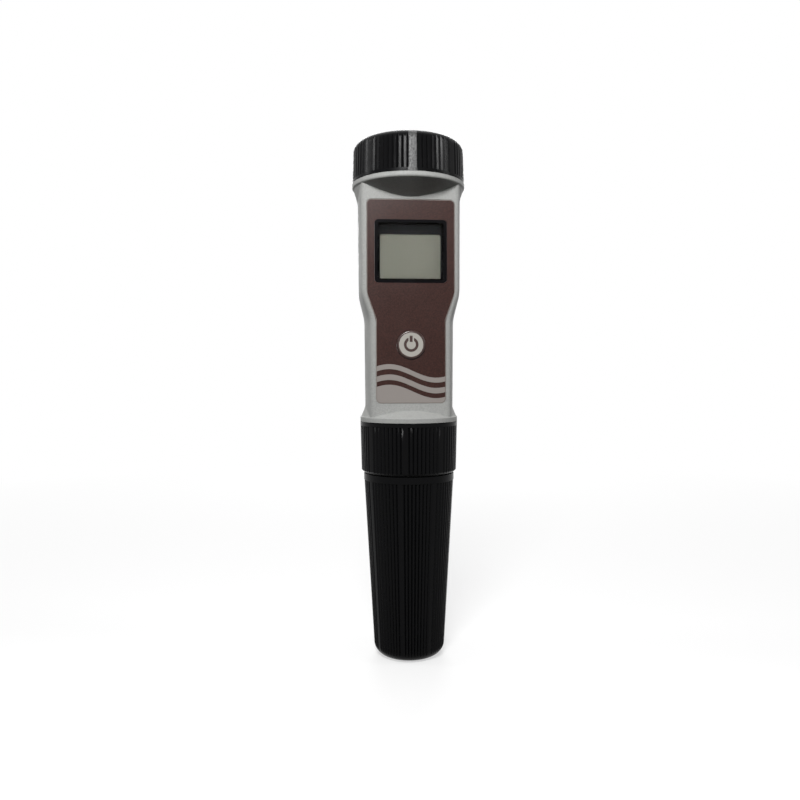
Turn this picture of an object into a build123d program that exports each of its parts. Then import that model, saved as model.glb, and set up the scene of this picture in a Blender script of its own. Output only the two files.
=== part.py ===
from build123d import *
import math
import os

# Pen-type tester, standing on the end of its protective cap.
# Millimetres, +Z up along the tester, the display looks along -Y, +X is to the viewer's right.

# Protective cap
protective_cap_length = 67.3
protective_cap_rim_height = 2.4
protective_cap_rim_wall = 2.5
protective_cap_rim_proud = 0.15
protective_cap_end_radius = 12.85
protective_cap_end_rounding = 4.4
protective_cap_wall = 2.3
protective_cap_floor = 2.2
protective_cap_rib_start = 0.8
protective_cap_strip_turn = -15.5
cap_seat_length = 9.5

# Ring nut
ring_gap = 0.3
ring_height = 18.8
ring_rim_height = 1.4
ring_rib_inset = 0.05
ring_draft = 0.4
ring_chamfer = 1.0
ring_wall = 2.1
ring_foot_gap = 0.15
ring_ledge_thickness = 2.2
ring_thread_gap = 0.6
ring_skirt_room = 1.3
ring_strip_turn = -9.0

# Housing, outside
body_height = 88.0
body_half_depth = 11.5
collar_radius = 21.0
collar_band = 1.6
collar_rounding = 0.9
scoop_height = 5.1
side_flare_top = 0.1
side_flare_height = 7.0
side_flare_radius = 12.0
flare_sink = 0.1
foot_radius = 18.1
foot_band = 1.8
foot_rounding = 0.6
foot_slope_height = 2.4
foot_flare_band = 1.1
foot_flare_height = 4.6
foot_flare_radius = 10.0
upper_flank_half = 18.65
lower_flank_half = 16.57
flank_draft = 0.35
upper_face_half = 17.6
lower_face_half = 14.3
face_draft = 0.05
waist_low = 37.5
waist_high = 46.1
waist_radius = 15.0
face_edge_radius = 2.0

# Housing, inside
wall = 1.9
floor_thickness = 2.0
upper_neck_height = 10.0
neck_register_height = 4.0
neck_thread_depth = 1.1
neck_wall = 2.1
neck_mouth_step = 0.7
neck_mouth_depth = 4.2
neck_bore_depth = 2.2
lower_neck_length = 11.4
lower_neck_wall = 2.1
socket_opening_x = 15.0
socket_opening_y = 8.0
socket_flange = 1.2

# Battery cap
cap_gap = 0.15
cap_height = 15.0
cap_rim_height = 1.1
cap_rim_inset = 0.1
cap_rib_inset = 0.15
cap_draft = 0.4
cap_wall = 1.75
cap_top_rounding = 3.4
cap_top_wall = 2.3
cap_thread_room = 0.9
cap_register_gap = 0.6
swivel_boss_radius = 4.0
swivel_boss_length = 2.0

# Ribs shared by the three black pieces
rib_pitch = 5.0
ribs_per_strip = 9
rib_groove_half = 0.55
rib_groove_depth = 0.45
rib_groove_reach = 0.6

# Seals
neck_seal_section = 1.6
electrode_seal_section = 1.4
cap_seal_section = 1.6
seal_clearance = 0.02

# Label and display
label_thickness = 0.4
label_pocket_depth = 0.5
label_upper_half = 15.95
label_lower_half = 12.6
label_corner_radius = 1.8
label_waist_radius = 10.0
label_low = 6.9
label_high = 80.4
label_waist_low = 37.0
label_waist_high = 46.6
label_clearance = 0.08
bezel_half_x = 13.05
bezel_half_z = 11.35
bezel_corner = 1.4
window_half_x = 11.95
window_half_z = 10.3
window_corner = 0.9
window_thickness = 0.8
window_lip = 0.5
bezel_skirt_wall = 0.6
bezel_skirt_length = 1.9
display_centre = 61.7

# Liquid crystal panel and its frame
lcd_thickness = 1.8
lcd_half_x = 11.9
lcd_half_z = 11.2
lcd_drop = 0.4
lcd_frame_wall = 0.9
lcd_frame_lip = 0.85
lcd_frame_top_lip = 4.2
lcd_frame_front = 0.5
lcd_ledge = 2.2
lcd_board_gap = 0.1
zebra_half_x = 10.0
zebra_width = 1.6

# Button and switch
button_centre = 28.0
button_radius = 5.2
button_raise = 0.8
button_rounding = 0.6
button_under_gap = 0.45
button_travel = 0.35
button_stem_radius = 3.0
button_retainer_radius = 3.7
button_retainer_thickness = 0.4
switch_side = 6.0
switch_height = 2.0
switch_plunger_radius = 1.25
switch_plunger_raise = 0.6
switch_plunger_length = 1.4

# Board
board_thickness = 1.2
board_depth = 5.1
board_edge_gap = 0.35
board_lower_half = 11.8
board_low = 5.2
board_step = 48.5
board_high = 81.5
board_corner = 1.5
board_screw_radius = 1.0
board_screw_head_radius = 1.9
board_screw_head_height = 0.9
board_screw_length = 4.2
board_screw_places = [(-8.5, 11.0), (8.5, 11.0), (-8.0, 77.6), (8.0, 77.6)]
chip_height = 1.1
chip_places = [(-3.6, 20.0, 3.5, 3.5), (5.2, 19.0, 2.5, 2.0), (0.0, 40.5, 5.0, 3.6)]
capacitor_height = 1.9
capacitor_half_x = 1.4
capacitor_half_z = 1.75
capacitor_places = [(-8.6, 33.0), (8.6, 33.0), (8.6, 39.0)]
board_contact_half = 0.7
board_contact_length = 3.0
board_contact_rise = 3.0
board_contact_gap = 0.04
socket_lead_radius = 0.35

# Cells, tray and well
cell_radius = 5.8
cell_height = 5.4
cell_count = 4
cell_lid_radius = 5.0
cell_lid_height = 0.35
tray_wall = 0.8
tray_board_gap = 0.7
tray_floor = 1.5
tray_clearance = 0.1
tray_grip = 0.6
tray_top_thickness = 2.0
tray_top_radius = 9.5
tray_contact_thickness = 0.4
tray_key_half = 3.4
tray_strip_half = 0.8
tray_strip_place = 2.2
tray_spring_room = 2.8
well_wall = 1.6
tray_leaf_radius = 4.8
tray_under_gap = 0.3
well_half_x = 9.3
chassis_front = 0.55
chassis_foot_gap = 1.0
chassis_flange_thickness = 1.8
chassis_rail_thickness = 1.4
chassis_rib_thickness = 1.6
chassis_window_corner = 1.0
chassis_window_margin = 3.0
chassis_rail_inset = 0.6
chassis_rib_inset = 3.4
board_boss_radius = 2.0
board_boss_depth = 2.6
swivel_shoulder_radius = 1.5
swivel_head_radius = 2.8
swivel_head_height = 1.3
swivel_slot_half = 0.4
swivel_gap = 0.2

# Electrode
electrode_plug_length = 6.0
electrode_shoulder = 0.9
electrode_flange_gap = 0.2
electrode_flange_thickness = 2.5
electrode_barrel_radius = 8.0
electrode_barrel_length = 28.0
guard_length = 13.0
guard_wall = 1.6
guard_slot = 5.0
guard_slots = 4
guard_bridge = 1.5
stem_radius = 3.0
stem_length = 9.5
stem_seat = 4.0
stem_rounding = 1.4
platinum_radius = 0.9
platinum_length = 6.0
platinum_out = 1.2
junction_radius = 1.5
junction_place = 4.6
junction_out = 0.8
junction_length = 4.0
pin_radius = 0.5
pin_length = 5.0
pin_seat = 3.0
pin_spacing = 4.0
pin_count = 3
sponge_thickness = 9.0
sponge_gap = 0.3

# Clearances, the reach of a cutting solid past what it cuts, and how near two points count as one
running_clearance = 0.06
seat_clearance = 0.1
overcut = 1.0
same_place = 0.01

# Round sizes that follow from the collar, out to in
cap_rim_radius = collar_radius - cap_rim_inset
cap_bottom_radius = collar_radius - cap_rib_inset
cap_top_radius = cap_bottom_radius - cap_draft
neck_register_radius = cap_bottom_radius - cap_wall
neck_root_radius = neck_register_radius - neck_thread_depth
cap_thread_bore = neck_root_radius + cap_thread_room
neck_bore_radius = neck_root_radius - neck_wall
neck_mouth_radius = neck_bore_radius + neck_mouth_step

# Round sizes that follow from the foot, out to in
ring_top_radius = foot_radius
ring_rib_top_radius = ring_top_radius - ring_rib_inset
ring_rib_bottom_radius = ring_rib_top_radius - ring_draft
lower_neck_radius = ring_top_radius - ring_wall - ring_thread_gap
lower_neck_bore = lower_neck_radius - lower_neck_wall
electrode_flange_radius = lower_neck_radius - electrode_flange_gap
electrode_seat_radius = electrode_flange_radius - electrode_shoulder
ring_skirt_bore = electrode_seat_radius + ring_skirt_room
protective_cap_rim_radius = electrode_seat_radius + protective_cap_rim_wall
protective_cap_top_radius = protective_cap_rim_radius - protective_cap_rim_proud

# Levels of the stacked pieces
ring_bottom = protective_cap_length + ring_gap
ring_top = ring_bottom + ring_height
foot_bottom = ring_top + ring_foot_gap
collar_top = foot_bottom + body_height
cap_bottom = collar_top + cap_gap
cap_top = cap_bottom + cap_height
neck_top = collar_top + upper_neck_height
neck_seat = neck_top - neck_mouth_depth
lower_neck_end = foot_bottom - lower_neck_length
flange_top = lower_neck_end - seat_clearance
flange_bottom = flange_top - electrode_flange_thickness
ledge_top = flange_bottom - seat_clearance
seat_bottom = protective_cap_length - cap_seat_length
button_level = foot_bottom + button_centre
display_level = foot_bottom + display_centre

# Depths behind the front face, along +Y
front = -body_half_depth
pocket_floor = front + label_pocket_depth
inner_front = front + wall
board_front = front + board_depth
board_back = board_front + board_thickness
inner_back = body_half_depth - wall
board_upper_half = math.sqrt(neck_bore_radius**2 - board_front**2) - board_edge_gap
tray_outer = cell_radius + running_clearance + tray_wall
tray_front = board_back + tray_board_gap + chassis_front + tray_clearance
tray_offset = tray_front + tray_outer


def disc(radius, low, high, x=0.0, y=0.0):
    base = (Align.CENTER, Align.CENTER, Align.MIN)
    return Pos(x, y, low) * Cylinder(radius, high - low, align=base)


def peg(radius, front_y, back_y, x, z):
    base = (Align.CENTER, Align.CENTER, Align.MIN)
    return Pos(x, front_y, z) * Rot(-90, 0, 0) * Cylinder(radius, back_y - front_y, align=base)


def block(half_x, low_y, high_y, low_z, high_z, x=0.0):
    base = (Align.CENTER, Align.MIN, Align.MIN)
    return Pos(x, low_y, low_z) * Box(2 * half_x, high_y - low_y, high_z - low_z, align=base)


def plate(half_x, half_z, corner, front_y, back_y, z):
    shape = Plane.XZ.offset(-front_y) * Pos(0, z) * RectangleRounded(2 * half_x, 2 * half_z, corner)
    return extrude(shape, front_y - back_y)


def turned(points, rounded=()):
    shape = make_face(Polyline(*points, close=True))
    for place, radius in rounded:
        corner = shape.vertices().sort_by_distance((place[0], place[1], 0))[0]
        shape = fillet(corner, radius)
    return revolve(Plane.XZ * shape, Axis.Z)


def corners_at(shape, levels):
    return [v for v in shape.vertices() if any(abs(v.Y - level) < same_place for level in levels)]


def seal(centre_radius, section, level):
    circle = Plane.XZ * Pos(centre_radius, level) * Circle(section / 2)
    return revolve(circle, Axis.Z)


def rib_grooves(low_radius, high_radius, low, high, strip_turn=0.0):
    # V grooves at each pitch, following the draft of the piece, with a smooth strip left every ninth place
    reach = rib_groove_reach
    opening = rib_groove_half * (rib_groove_depth + reach) / rib_groove_depth
    draft = math.degrees(math.atan2(high_radius - low_radius, high - low))
    points = [(-rib_groove_depth, 0), (reach, opening), (reach, -opening)]
    vee = extrude(make_face(Polyline(*points, close=True)), high - low)
    groove = Pos(low_radius, 0, low) * Rot(0, draft, 0) * vee
    places = [i for i in range(round(360 / rib_pitch)) if i % ribs_per_strip]
    front_turn = strip_turn - 90
    return [Rot(0, 0, front_turn + i * rib_pitch) * groove for i in places]


def body_section(half_low, half_high, draft, inset, depth, low, high):
    bend_low = foot_bottom + waist_low
    bend_high = foot_bottom + waist_high
    right = [
        (half_low - draft - inset, low),
        (half_low - inset, bend_low),
        (half_high - inset, bend_high),
        (half_high + draft - inset, high),
    ]
    left = [(-x, z) for x, z in reversed(right)]
    shape = make_face(Polyline(*right, *left, close=True))
    shape = fillet(corners_at(shape, (bend_low, bend_high)), waist_radius)
    return Plane.XZ.offset(depth) * shape


def body_block(inset, low, high):
    depth = body_half_depth - inset
    face = (lower_face_half, upper_face_half, face_draft, inset)
    flank = (lower_flank_half, upper_flank_half, flank_draft, inset)
    sections = [
        body_section(*face, depth, low, high),
        body_section(*flank, 0, low, high),
        body_section(*face, -depth, low, high),
    ]
    return loft(sections)


def label_shape(grow):
    low = foot_bottom + label_low - grow
    high = foot_bottom + label_high + grow
    bend_low = foot_bottom + label_waist_low
    bend_high = foot_bottom + label_waist_high
    upper = label_upper_half + grow
    lower = label_lower_half + grow
    right = [(lower, low), (lower, bend_low), (upper, bend_high), (upper, high)]
    left = [(-x, z) for x, z in reversed(right)]
    shape = make_face(Polyline(*right, *left, close=True))
    shape = fillet(corners_at(shape, (bend_low, bend_high)), label_waist_radius)
    return fillet(corners_at(shape, (low, high)), label_corner_radius + grow)


def collar_and_scoop():
    # Round collar under the battery cap, whose cone makes the thumb scoop where it meets the flat face
    scoop_edge = collar_top - collar_band
    scoop_bottom = scoop_edge - scoop_height
    points = [
        (0, collar_top),
        (collar_radius, collar_top),
        (collar_radius, scoop_edge),
        (body_half_depth, scoop_bottom),
        (0, scoop_bottom),
    ]
    return turned(points, [((collar_radius, scoop_edge), collar_rounding)])


def foot():
    foot_edge = foot_bottom + foot_band
    slope_top = foot_edge + foot_slope_height
    points = [
        (0, foot_bottom),
        (foot_radius, foot_bottom),
        (foot_radius, foot_edge),
        (body_half_depth, slope_top),
        (0, slope_top),
    ]
    return turned(points, [((foot_radius, foot_edge), foot_rounding)])


def flare(radius, edge_level, end_level, half, height, rounding):
    # Concave run from the narrow flank out to the round end, kept to the flanks
    low = edge_level + height
    tail = low + height
    points = [
        (0, end_level),
        (radius, end_level),
        (radius, edge_level),
        (half - flare_sink, low),
        (half - 2 * flare_sink, tail),
        (0, tail),
    ]
    ring = turned(points, [((half - flare_sink, low), rounding)])
    flank_depth = body_half_depth - face_edge_radius
    return ring & block(radius + overcut, -flank_depth, flank_depth, foot_bottom, collar_top)


def outer_body():
    body = body_block(0, foot_bottom + foot_band / 2, collar_top - collar_band / 2)
    long_edges = [
        e
        for e in body.edges()
        if abs(abs(e.center().Y) - body_half_depth) < same_place and abs(e.center().X) > lower_face_half / 2
    ]
    body = fillet(long_edges, face_edge_radius)
    upper_half = upper_flank_half + flank_draft
    lower_half = lower_flank_half - flank_draft
    flare_edge = collar_top - side_flare_top
    foot_flare_edge = foot_bottom + foot_flare_band
    body += collar_and_scoop() + foot()
    upper_run = (-side_flare_height, side_flare_radius)
    body += flare(collar_radius, flare_edge, collar_top, upper_half, *upper_run)
    lower_run = (foot_flare_height, foot_flare_radius)
    body += flare(foot_radius, foot_flare_edge, foot_bottom, lower_half, *lower_run)
    # Threaded neck for the battery cap, with a register and a seal groove, and the neck for the ring nut
    body += disc(neck_register_radius, collar_top, collar_top + neck_register_height)
    body += disc(neck_root_radius, collar_top, neck_top)
    body -= ring_groove(neck_register_radius, neck_seal_section, neck_seal_level())
    body += disc(lower_neck_radius, lower_neck_end, foot_bottom)
    return body


def make_housing():
    cavity_floor = foot_bottom + floor_thickness
    bore_floor = collar_top - neck_bore_depth
    housing = outer_body()
    housing -= body_block(wall, cavity_floor, bore_floor) & disc(neck_bore_radius, cavity_floor, neck_top)
    housing -= disc(neck_bore_radius, bore_floor, neck_top)
    housing -= disc(neck_mouth_radius, neck_seat, neck_top)
    housing -= disc(lower_neck_bore, lower_neck_end, foot_bottom)
    socket_half = socket_opening_y / 2
    housing -= block(socket_opening_x / 2, -socket_half, socket_half, foot_bottom, cavity_floor)

    # Front face: label pocket, display opening and button bore
    pocket = Plane.XZ.offset(body_half_depth) * label_shape(label_clearance)
    housing -= extrude(pocket, -label_pocket_depth)
    skirt_x = window_half_x + bezel_skirt_wall + label_clearance
    skirt_z = window_half_z + bezel_skirt_wall + label_clearance
    skirt_corner = window_corner + bezel_skirt_wall
    cut_end = inner_front + overcut
    housing -= plate(skirt_x, skirt_z, skirt_corner, front, cut_end, display_level)
    housing -= peg(button_stem_radius + running_clearance, front, cut_end, 0, button_level)
    return housing


def neck_seal_level():
    return collar_top + neck_register_height / 2


def make_neck_o_ring():
    centre = neck_register_radius + running_clearance - seal_clearance - neck_seal_section / 2
    return seal(centre, neck_seal_section, neck_seal_level())


def make_battery_cap():
    rib_low = cap_bottom + cap_rim_height
    outside = turned(
        [
            (0, cap_bottom),
            (cap_rim_radius, cap_bottom),
            (cap_rim_radius, rib_low),
            (cap_bottom_radius, rib_low),
            (cap_top_radius, cap_top),
            (0, cap_top),
        ],
        [((cap_top_radius, cap_top), cap_top_rounding)],
    )
    outside -= rib_grooves(cap_bottom_radius, cap_top_radius, rib_low, cap_top + overcut)
    ceiling = cap_top - cap_top_wall
    register_top = collar_top + neck_register_height + cap_register_gap
    inside = disc(neck_register_radius + running_clearance, cap_bottom, register_top)
    inside += disc(cap_thread_bore, cap_bottom, ceiling)
    cap = outside - inside
    cap += disc(swivel_boss_radius, ceiling - swivel_boss_length, ceiling)
    screw_top = cap_top - cap_top_wall / 2
    cap -= disc(swivel_shoulder_radius, ceiling - swivel_boss_length, screw_top)
    return cap


def swivel_levels():
    # Underside of the cap's boss, then the top and bottom of the tray's plate that turns against it
    boss_end = cap_top - cap_top_wall - swivel_boss_length
    plate_top = boss_end - swivel_gap
    plate_low = plate_top - tray_top_thickness
    return boss_end, plate_top, plate_low


def make_swivel_screw():
    boss_end, plate_top, plate_low = swivel_levels()
    head_top = plate_low - swivel_gap / 2
    shoulder = disc(swivel_shoulder_radius, head_top, cap_top - cap_top_wall / 2)
    head_low = head_top - swivel_head_height
    reach = swivel_head_radius
    head = disc(swivel_head_radius, head_low, head_top)
    head -= block(swivel_slot_half, -reach, reach, head_low, head_low + swivel_head_height / 2)
    return shoulder + head


def cell_stack_top():
    return swivel_levels()[2] - swivel_gap / 2 - swivel_head_height - tray_spring_room


def cell_stack_bottom():
    return cell_stack_top() - cell_count * cell_height


def tray_bottom():
    return cell_stack_bottom() - tray_contact_thickness - tray_floor


def tray_strip(side, low, high, grow=0.0):
    # Sheet metal strip let into the flat front of the tray
    back = tray_front + tray_contact_thickness + grow
    return block(tray_strip_half + grow, tray_front, back, low, high, x=side * tray_strip_place)


def tray_strip_arm(side, level, grow=0.0):
    # Short arm that carries the strip through the wall to the contact
    arm_corner = tray_strip_place + tray_strip_half
    back = tray_offset - math.sqrt(tray_leaf_radius**2 - arm_corner**2)
    low = level - grow
    high = level + tray_contact_thickness + grow
    return block(tray_strip_half + grow, tray_front, back, low, high, x=side * tray_strip_place)


def make_battery_tray():
    boss_end, plate_top, plate_low = swivel_levels()
    low = tray_bottom()
    tray = disc(tray_outer, low, plate_low, y=tray_offset)
    tray += block(tray_key_half, tray_front, tray_offset, low, plate_low)
    tray -= disc(cell_radius + running_clearance, low + tray_floor, plate_low, y=tray_offset)
    # Open side where the cells snap in
    mouth_back = tray_offset + tray_outer + overcut
    tray -= block(cell_radius - tray_grip, tray_offset, mouth_back, low + tray_floor, plate_low)
    tray += disc(tray_top_radius, plate_low, plate_top)
    tray -= disc(swivel_shoulder_radius + running_clearance, plate_low, plate_top)
    bottom = cell_stack_bottom() - tray_contact_thickness
    fit = running_clearance
    tray -= tray_strip(1, bottom - fit, cell_stack_top() + tray_contact_thickness + fit, grow=fit)
    tray -= tray_strip(-1, bottom - fit, bottom + 2 * cell_height + fit, grow=fit)
    tray -= tray_strip_arm(1, cell_stack_top(), grow=fit)
    tray -= tray_strip_arm(-1, bottom, grow=fit)
    return tray


def make_button_cells():
    bottom = cell_stack_bottom()
    cells = []
    for i in range(cell_count):
        low = bottom + i * cell_height
        can = disc(cell_radius, low, low + cell_height - cell_lid_height, y=tray_offset)
        lid = disc(cell_lid_radius, low + cell_height - cell_lid_height, low + cell_height, y=tray_offset)
        cells.append(can + lid)
    return Compound(cells)


def make_tray_top_contact():
    low = cell_stack_top()
    leaf_top = low + tray_contact_thickness
    contact = disc(tray_leaf_radius, low, leaf_top, y=tray_offset)
    # Raised spring tongue that bears on the screw's side of the tray plate
    tongue_low = low + tray_spring_room - 2 * tray_contact_thickness
    contact += disc(tray_leaf_radius / 4, leaf_top, tongue_low, y=tray_offset)
    contact += disc(tray_leaf_radius / 2, tongue_low, tongue_low + tray_contact_thickness, y=tray_offset)
    contact += tray_strip_arm(1, low)
    contact += tray_strip(1, cell_stack_bottom(), leaf_top)
    return contact


def make_tray_bottom_contact():
    low = cell_stack_bottom() - tray_contact_thickness
    contact = disc(tray_leaf_radius, low, low + tray_contact_thickness, y=tray_offset)
    contact += tray_strip_arm(-1, low)
    contact += tray_strip(-1, low, low + 2 * cell_height)
    return contact


def chassis_levels():
    bore = tray_outer + tray_clearance
    well_front = tray_front - tray_clearance - chassis_front
    well_low = tray_bottom() - well_wall - tray_under_gap
    return bore, well_front, well_low


def contact_level():
    # Where the board's spring fingers meet the strips of the tray
    return cell_stack_bottom() + board_contact_rise


def make_chassis():
    bore, well_front, well_low = chassis_levels()
    tray_low = tray_bottom()
    flange_top = neck_seat + chassis_flange_thickness
    well_back = inner_back - seat_clearance
    rail_half = board_lower_half - chassis_rail_inset
    frame_low = foot_bottom + board_low + chassis_foot_gap
    rail_back = well_front + chassis_rail_thickness
    frame_high = well_low + well_wall
    chassis = block(well_half_x, well_front, well_back, well_low, neck_seat)
    chassis += disc(neck_mouth_radius - running_clearance, neck_seat, flange_top)
    # Plate behind the board, and two long ribs that reach the back wall
    chassis += block(rail_half, well_front, rail_back, frame_low, frame_high)
    for side in (-1, 1):
        rib_x = side * (rail_half - chassis_rib_inset)
        chassis += block(chassis_rib_thickness / 2, well_front, well_back, frame_low, frame_high, x=rib_x)
    chassis -= disc(bore, tray_low - tray_under_gap, flange_top, y=tray_offset)
    key_front = well_front + chassis_front
    key_half = tray_key_half + tray_clearance
    chassis -= block(key_half, key_front, tray_offset, tray_low - tray_under_gap, flange_top)
    opening_low = frame_low + chassis_window_margin
    opening_high = well_low - chassis_window_margin
    chassis -= plate(
        rail_half - chassis_rib_inset - chassis_window_margin,
        (opening_high - opening_low) / 2,
        chassis_window_corner,
        well_front,
        rail_back,
        (opening_high + opening_low) / 2,
    )
    for side in (-1, 1):
        half = board_contact_half + tray_clearance
        low = contact_level() - tray_clearance
        high = contact_level() + board_contact_length + tray_clearance
        chassis -= block(half, well_front, key_front, low, high, x=side * tray_strip_place)
    for x, level in board_screw_places:
        chassis += peg(board_boss_radius, board_back, well_front + board_boss_depth, x, foot_bottom + level)
    hole_end = board_back + board_screw_length
    for x, level in board_screw_places:
        chassis -= peg(board_screw_radius, board_back, hole_end, x, foot_bottom + level)
    return chassis


def board_outline():
    low = foot_bottom + board_low
    step = foot_bottom + board_step
    high = foot_bottom + board_high
    right = [
        (board_lower_half, low),
        (board_lower_half, step),
        (board_upper_half, step + board_upper_half - board_lower_half),
        (board_upper_half, high),
    ]
    left = [(-x, z) for x, z in reversed(right)]
    shape = make_face(Polyline(*right, *left, close=True))
    return fillet(corners_at(shape, (low, high)), board_corner)


def make_circuit_board():
    board = extrude(Plane.XZ.offset(-board_front) * board_outline(), -board_thickness)
    hole_radius = board_screw_radius + running_clearance
    for x, level in board_screw_places:
        board -= peg(hole_radius, board_front, board_back, x, foot_bottom + level)
    return board


def make_board_screws():
    screws = []
    for x, level in board_screw_places:
        z = foot_bottom + level
        shank = peg(board_screw_radius, board_front, board_back + board_screw_length, x, z)
        head = peg(board_screw_head_radius, board_front - board_screw_head_height, board_front, x, z)
        screws.append(shank + head)
    return Compound(screws)


def make_board_chips():
    chips = []
    for x, level, half_x, half_z in chip_places:
        z = foot_bottom + level
        chips.append(block(half_x, board_front - chip_height, board_front, z - half_z, z + half_z, x=x))
    return Compound(chips)


def make_board_capacitors():
    parts = []
    for x, level in capacitor_places:
        z = foot_bottom + level
        low = z - capacitor_half_z
        high = z + capacitor_half_z
        parts.append(block(capacitor_half_x, board_front - capacitor_height, board_front, low, high, x=x))
    return Compound(parts)


def make_board_contacts():
    low = contact_level()
    tip = tray_front - board_contact_gap
    fingers = []
    for side in (-1, 1):
        x = side * tray_strip_place
        fingers.append(block(board_contact_half, board_back, tip, low, low + board_contact_length, x=x))
    return Compound(fingers)


def label_front():
    return pocket_floor - label_thickness


def make_front_label():
    label = extrude(Plane.XZ.offset(-label_front()) * label_shape(0), -label_thickness)
    hole_x = bezel_half_x + label_clearance
    hole_z = bezel_half_z + label_clearance
    hole_corner = bezel_corner + label_clearance
    label -= plate(hole_x, hole_z, hole_corner, label_front(), pocket_floor, display_level)
    label -= peg(button_radius + running_clearance, label_front(), pocket_floor, 0, button_level)
    return label


def make_display_bezel():
    skirt_x = window_half_x + bezel_skirt_wall
    skirt_z = window_half_z + bezel_skirt_wall
    skirt_end = pocket_floor + bezel_skirt_length
    bezel = plate(bezel_half_x, bezel_half_z, bezel_corner, label_front(), pocket_floor, display_level)
    skirt_corner = window_corner + bezel_skirt_wall
    bezel += plate(skirt_x, skirt_z, skirt_corner, pocket_floor, skirt_end, display_level)
    seat = label_front() + window_thickness
    for grow, front_y, back_y in ((running_clearance, label_front(), seat), (-window_lip, seat, skirt_end)):
        opening_x = window_half_x + grow
        opening_z = window_half_z + grow
        bezel -= plate(opening_x, opening_z, window_corner, front_y, back_y, display_level)
    return bezel


def make_display_window():
    front_y = label_front()
    back_y = front_y + window_thickness
    return plate(window_half_x, window_half_z, window_corner, front_y, back_y, display_level)


def lcd_levels():
    middle = display_level - lcd_drop
    back = board_front - lcd_board_gap
    return middle, back - lcd_thickness, back


def make_lcd_panel():
    middle, front_y, back_y = lcd_levels()
    low = middle - lcd_half_z
    high = middle + lcd_half_z
    joint = (front_y + back_y) / 2
    panel = block(lcd_half_x, front_y, joint, low, high)
    return panel + block(lcd_half_x, joint, back_y, low + lcd_ledge, high)


def make_zebra_strip():
    middle, front_y, back_y = lcd_levels()
    joint = (front_y + back_y) / 2
    centre = middle - lcd_half_z + lcd_ledge / 2
    return block(zebra_half_x, joint, board_front, centre - zebra_width / 2, centre + zebra_width / 2)


def make_lcd_frame():
    middle, front_y, back_y = lcd_levels()
    gap = running_clearance
    outer_x = lcd_half_x + gap + lcd_frame_wall
    outer_z = lcd_half_z + gap + lcd_frame_wall
    frame_front = front_y - lcd_frame_front
    frame = plate(outer_x, outer_z, lcd_frame_wall, frame_front, board_front, middle)
    room_z = lcd_half_z + gap
    frame -= block(lcd_half_x + gap, front_y, board_front, middle - room_z, middle + room_z)
    # The top lip hides the panel's dead edge
    opening_x = lcd_half_x - lcd_frame_lip
    opening_z = lcd_half_z - (lcd_frame_lip + lcd_frame_top_lip) / 2
    opening_middle = middle + (lcd_frame_lip - lcd_frame_top_lip) / 2
    frame -= plate(opening_x, opening_z, lcd_frame_lip, frame_front, front_y, opening_middle)
    return frame


def make_power_button():
    top = label_front() - button_raise
    under = pocket_floor - button_under_gap
    stem_end = board_front - switch_height - switch_plunger_raise
    retainer_front = inner_front + running_clearance
    retainer_back = retainer_front + button_retainer_thickness
    button = peg(button_radius, top, under, 0, button_level)
    button = fillet(button.edges().sort_by(Axis.Y)[0], button_rounding)
    button += peg(button_stem_radius, under, stem_end, 0, button_level)
    button += peg(button_retainer_radius, retainer_front, retainer_back, 0, button_level)
    return button


def make_switch_plunger():
    tip = board_front - switch_height - switch_plunger_raise
    return peg(switch_plunger_radius, tip, tip + switch_plunger_length, 0, button_level)


def make_tact_switch():
    front_y = board_front - switch_height
    half = switch_side / 2
    body = block(half, front_y, board_front, button_level - half, button_level + half)
    well_end = front_y - switch_plunger_raise + switch_plunger_length + button_travel + seat_clearance
    body -= peg(switch_plunger_radius + running_clearance, front_y, well_end, 0, button_level)
    return body


def pin_places():
    return [(i - (pin_count - 1) / 2) * pin_spacing for i in range(pin_count)]


def plug_top():
    return lower_neck_end + electrode_plug_length


def make_sensor_socket():
    low = plug_top() + seat_clearance
    floor_top = foot_bottom + floor_thickness
    half_x = socket_opening_x / 2 - running_clearance
    half_y = socket_opening_y / 2 - running_clearance
    socket = block(half_x, -half_y, half_y, low, floor_top)
    grow = socket_flange
    socket += block(half_x + grow, -half_y - grow, half_y + grow, floor_top, floor_top + grow)
    for x in pin_places():
        socket -= disc(pin_radius + running_clearance, low, plug_top() + pin_length + seat_clearance, x=x)
    return socket


def make_socket_leads():
    low = foot_bottom + floor_thickness + socket_flange
    high = foot_bottom + board_low + 2 * socket_lead_radius
    leads = []
    for x in pin_places():
        upright = disc(socket_lead_radius, low, high, x=x)
        leads.append(upright + peg(socket_lead_radius, board_back, 0, x, high - socket_lead_radius))
    return Compound(leads)


def plug_seal_level():
    return lower_neck_end + electrode_plug_length / 2


def cap_seal_level():
    return seat_bottom + cap_seat_length / 2


def ring_groove(radius, section, level):
    low = level - section / 2 - seal_clearance
    high = level + section / 2 + seal_clearance
    return disc(radius + overcut, low, high) - disc(radius - section, low, high)


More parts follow.
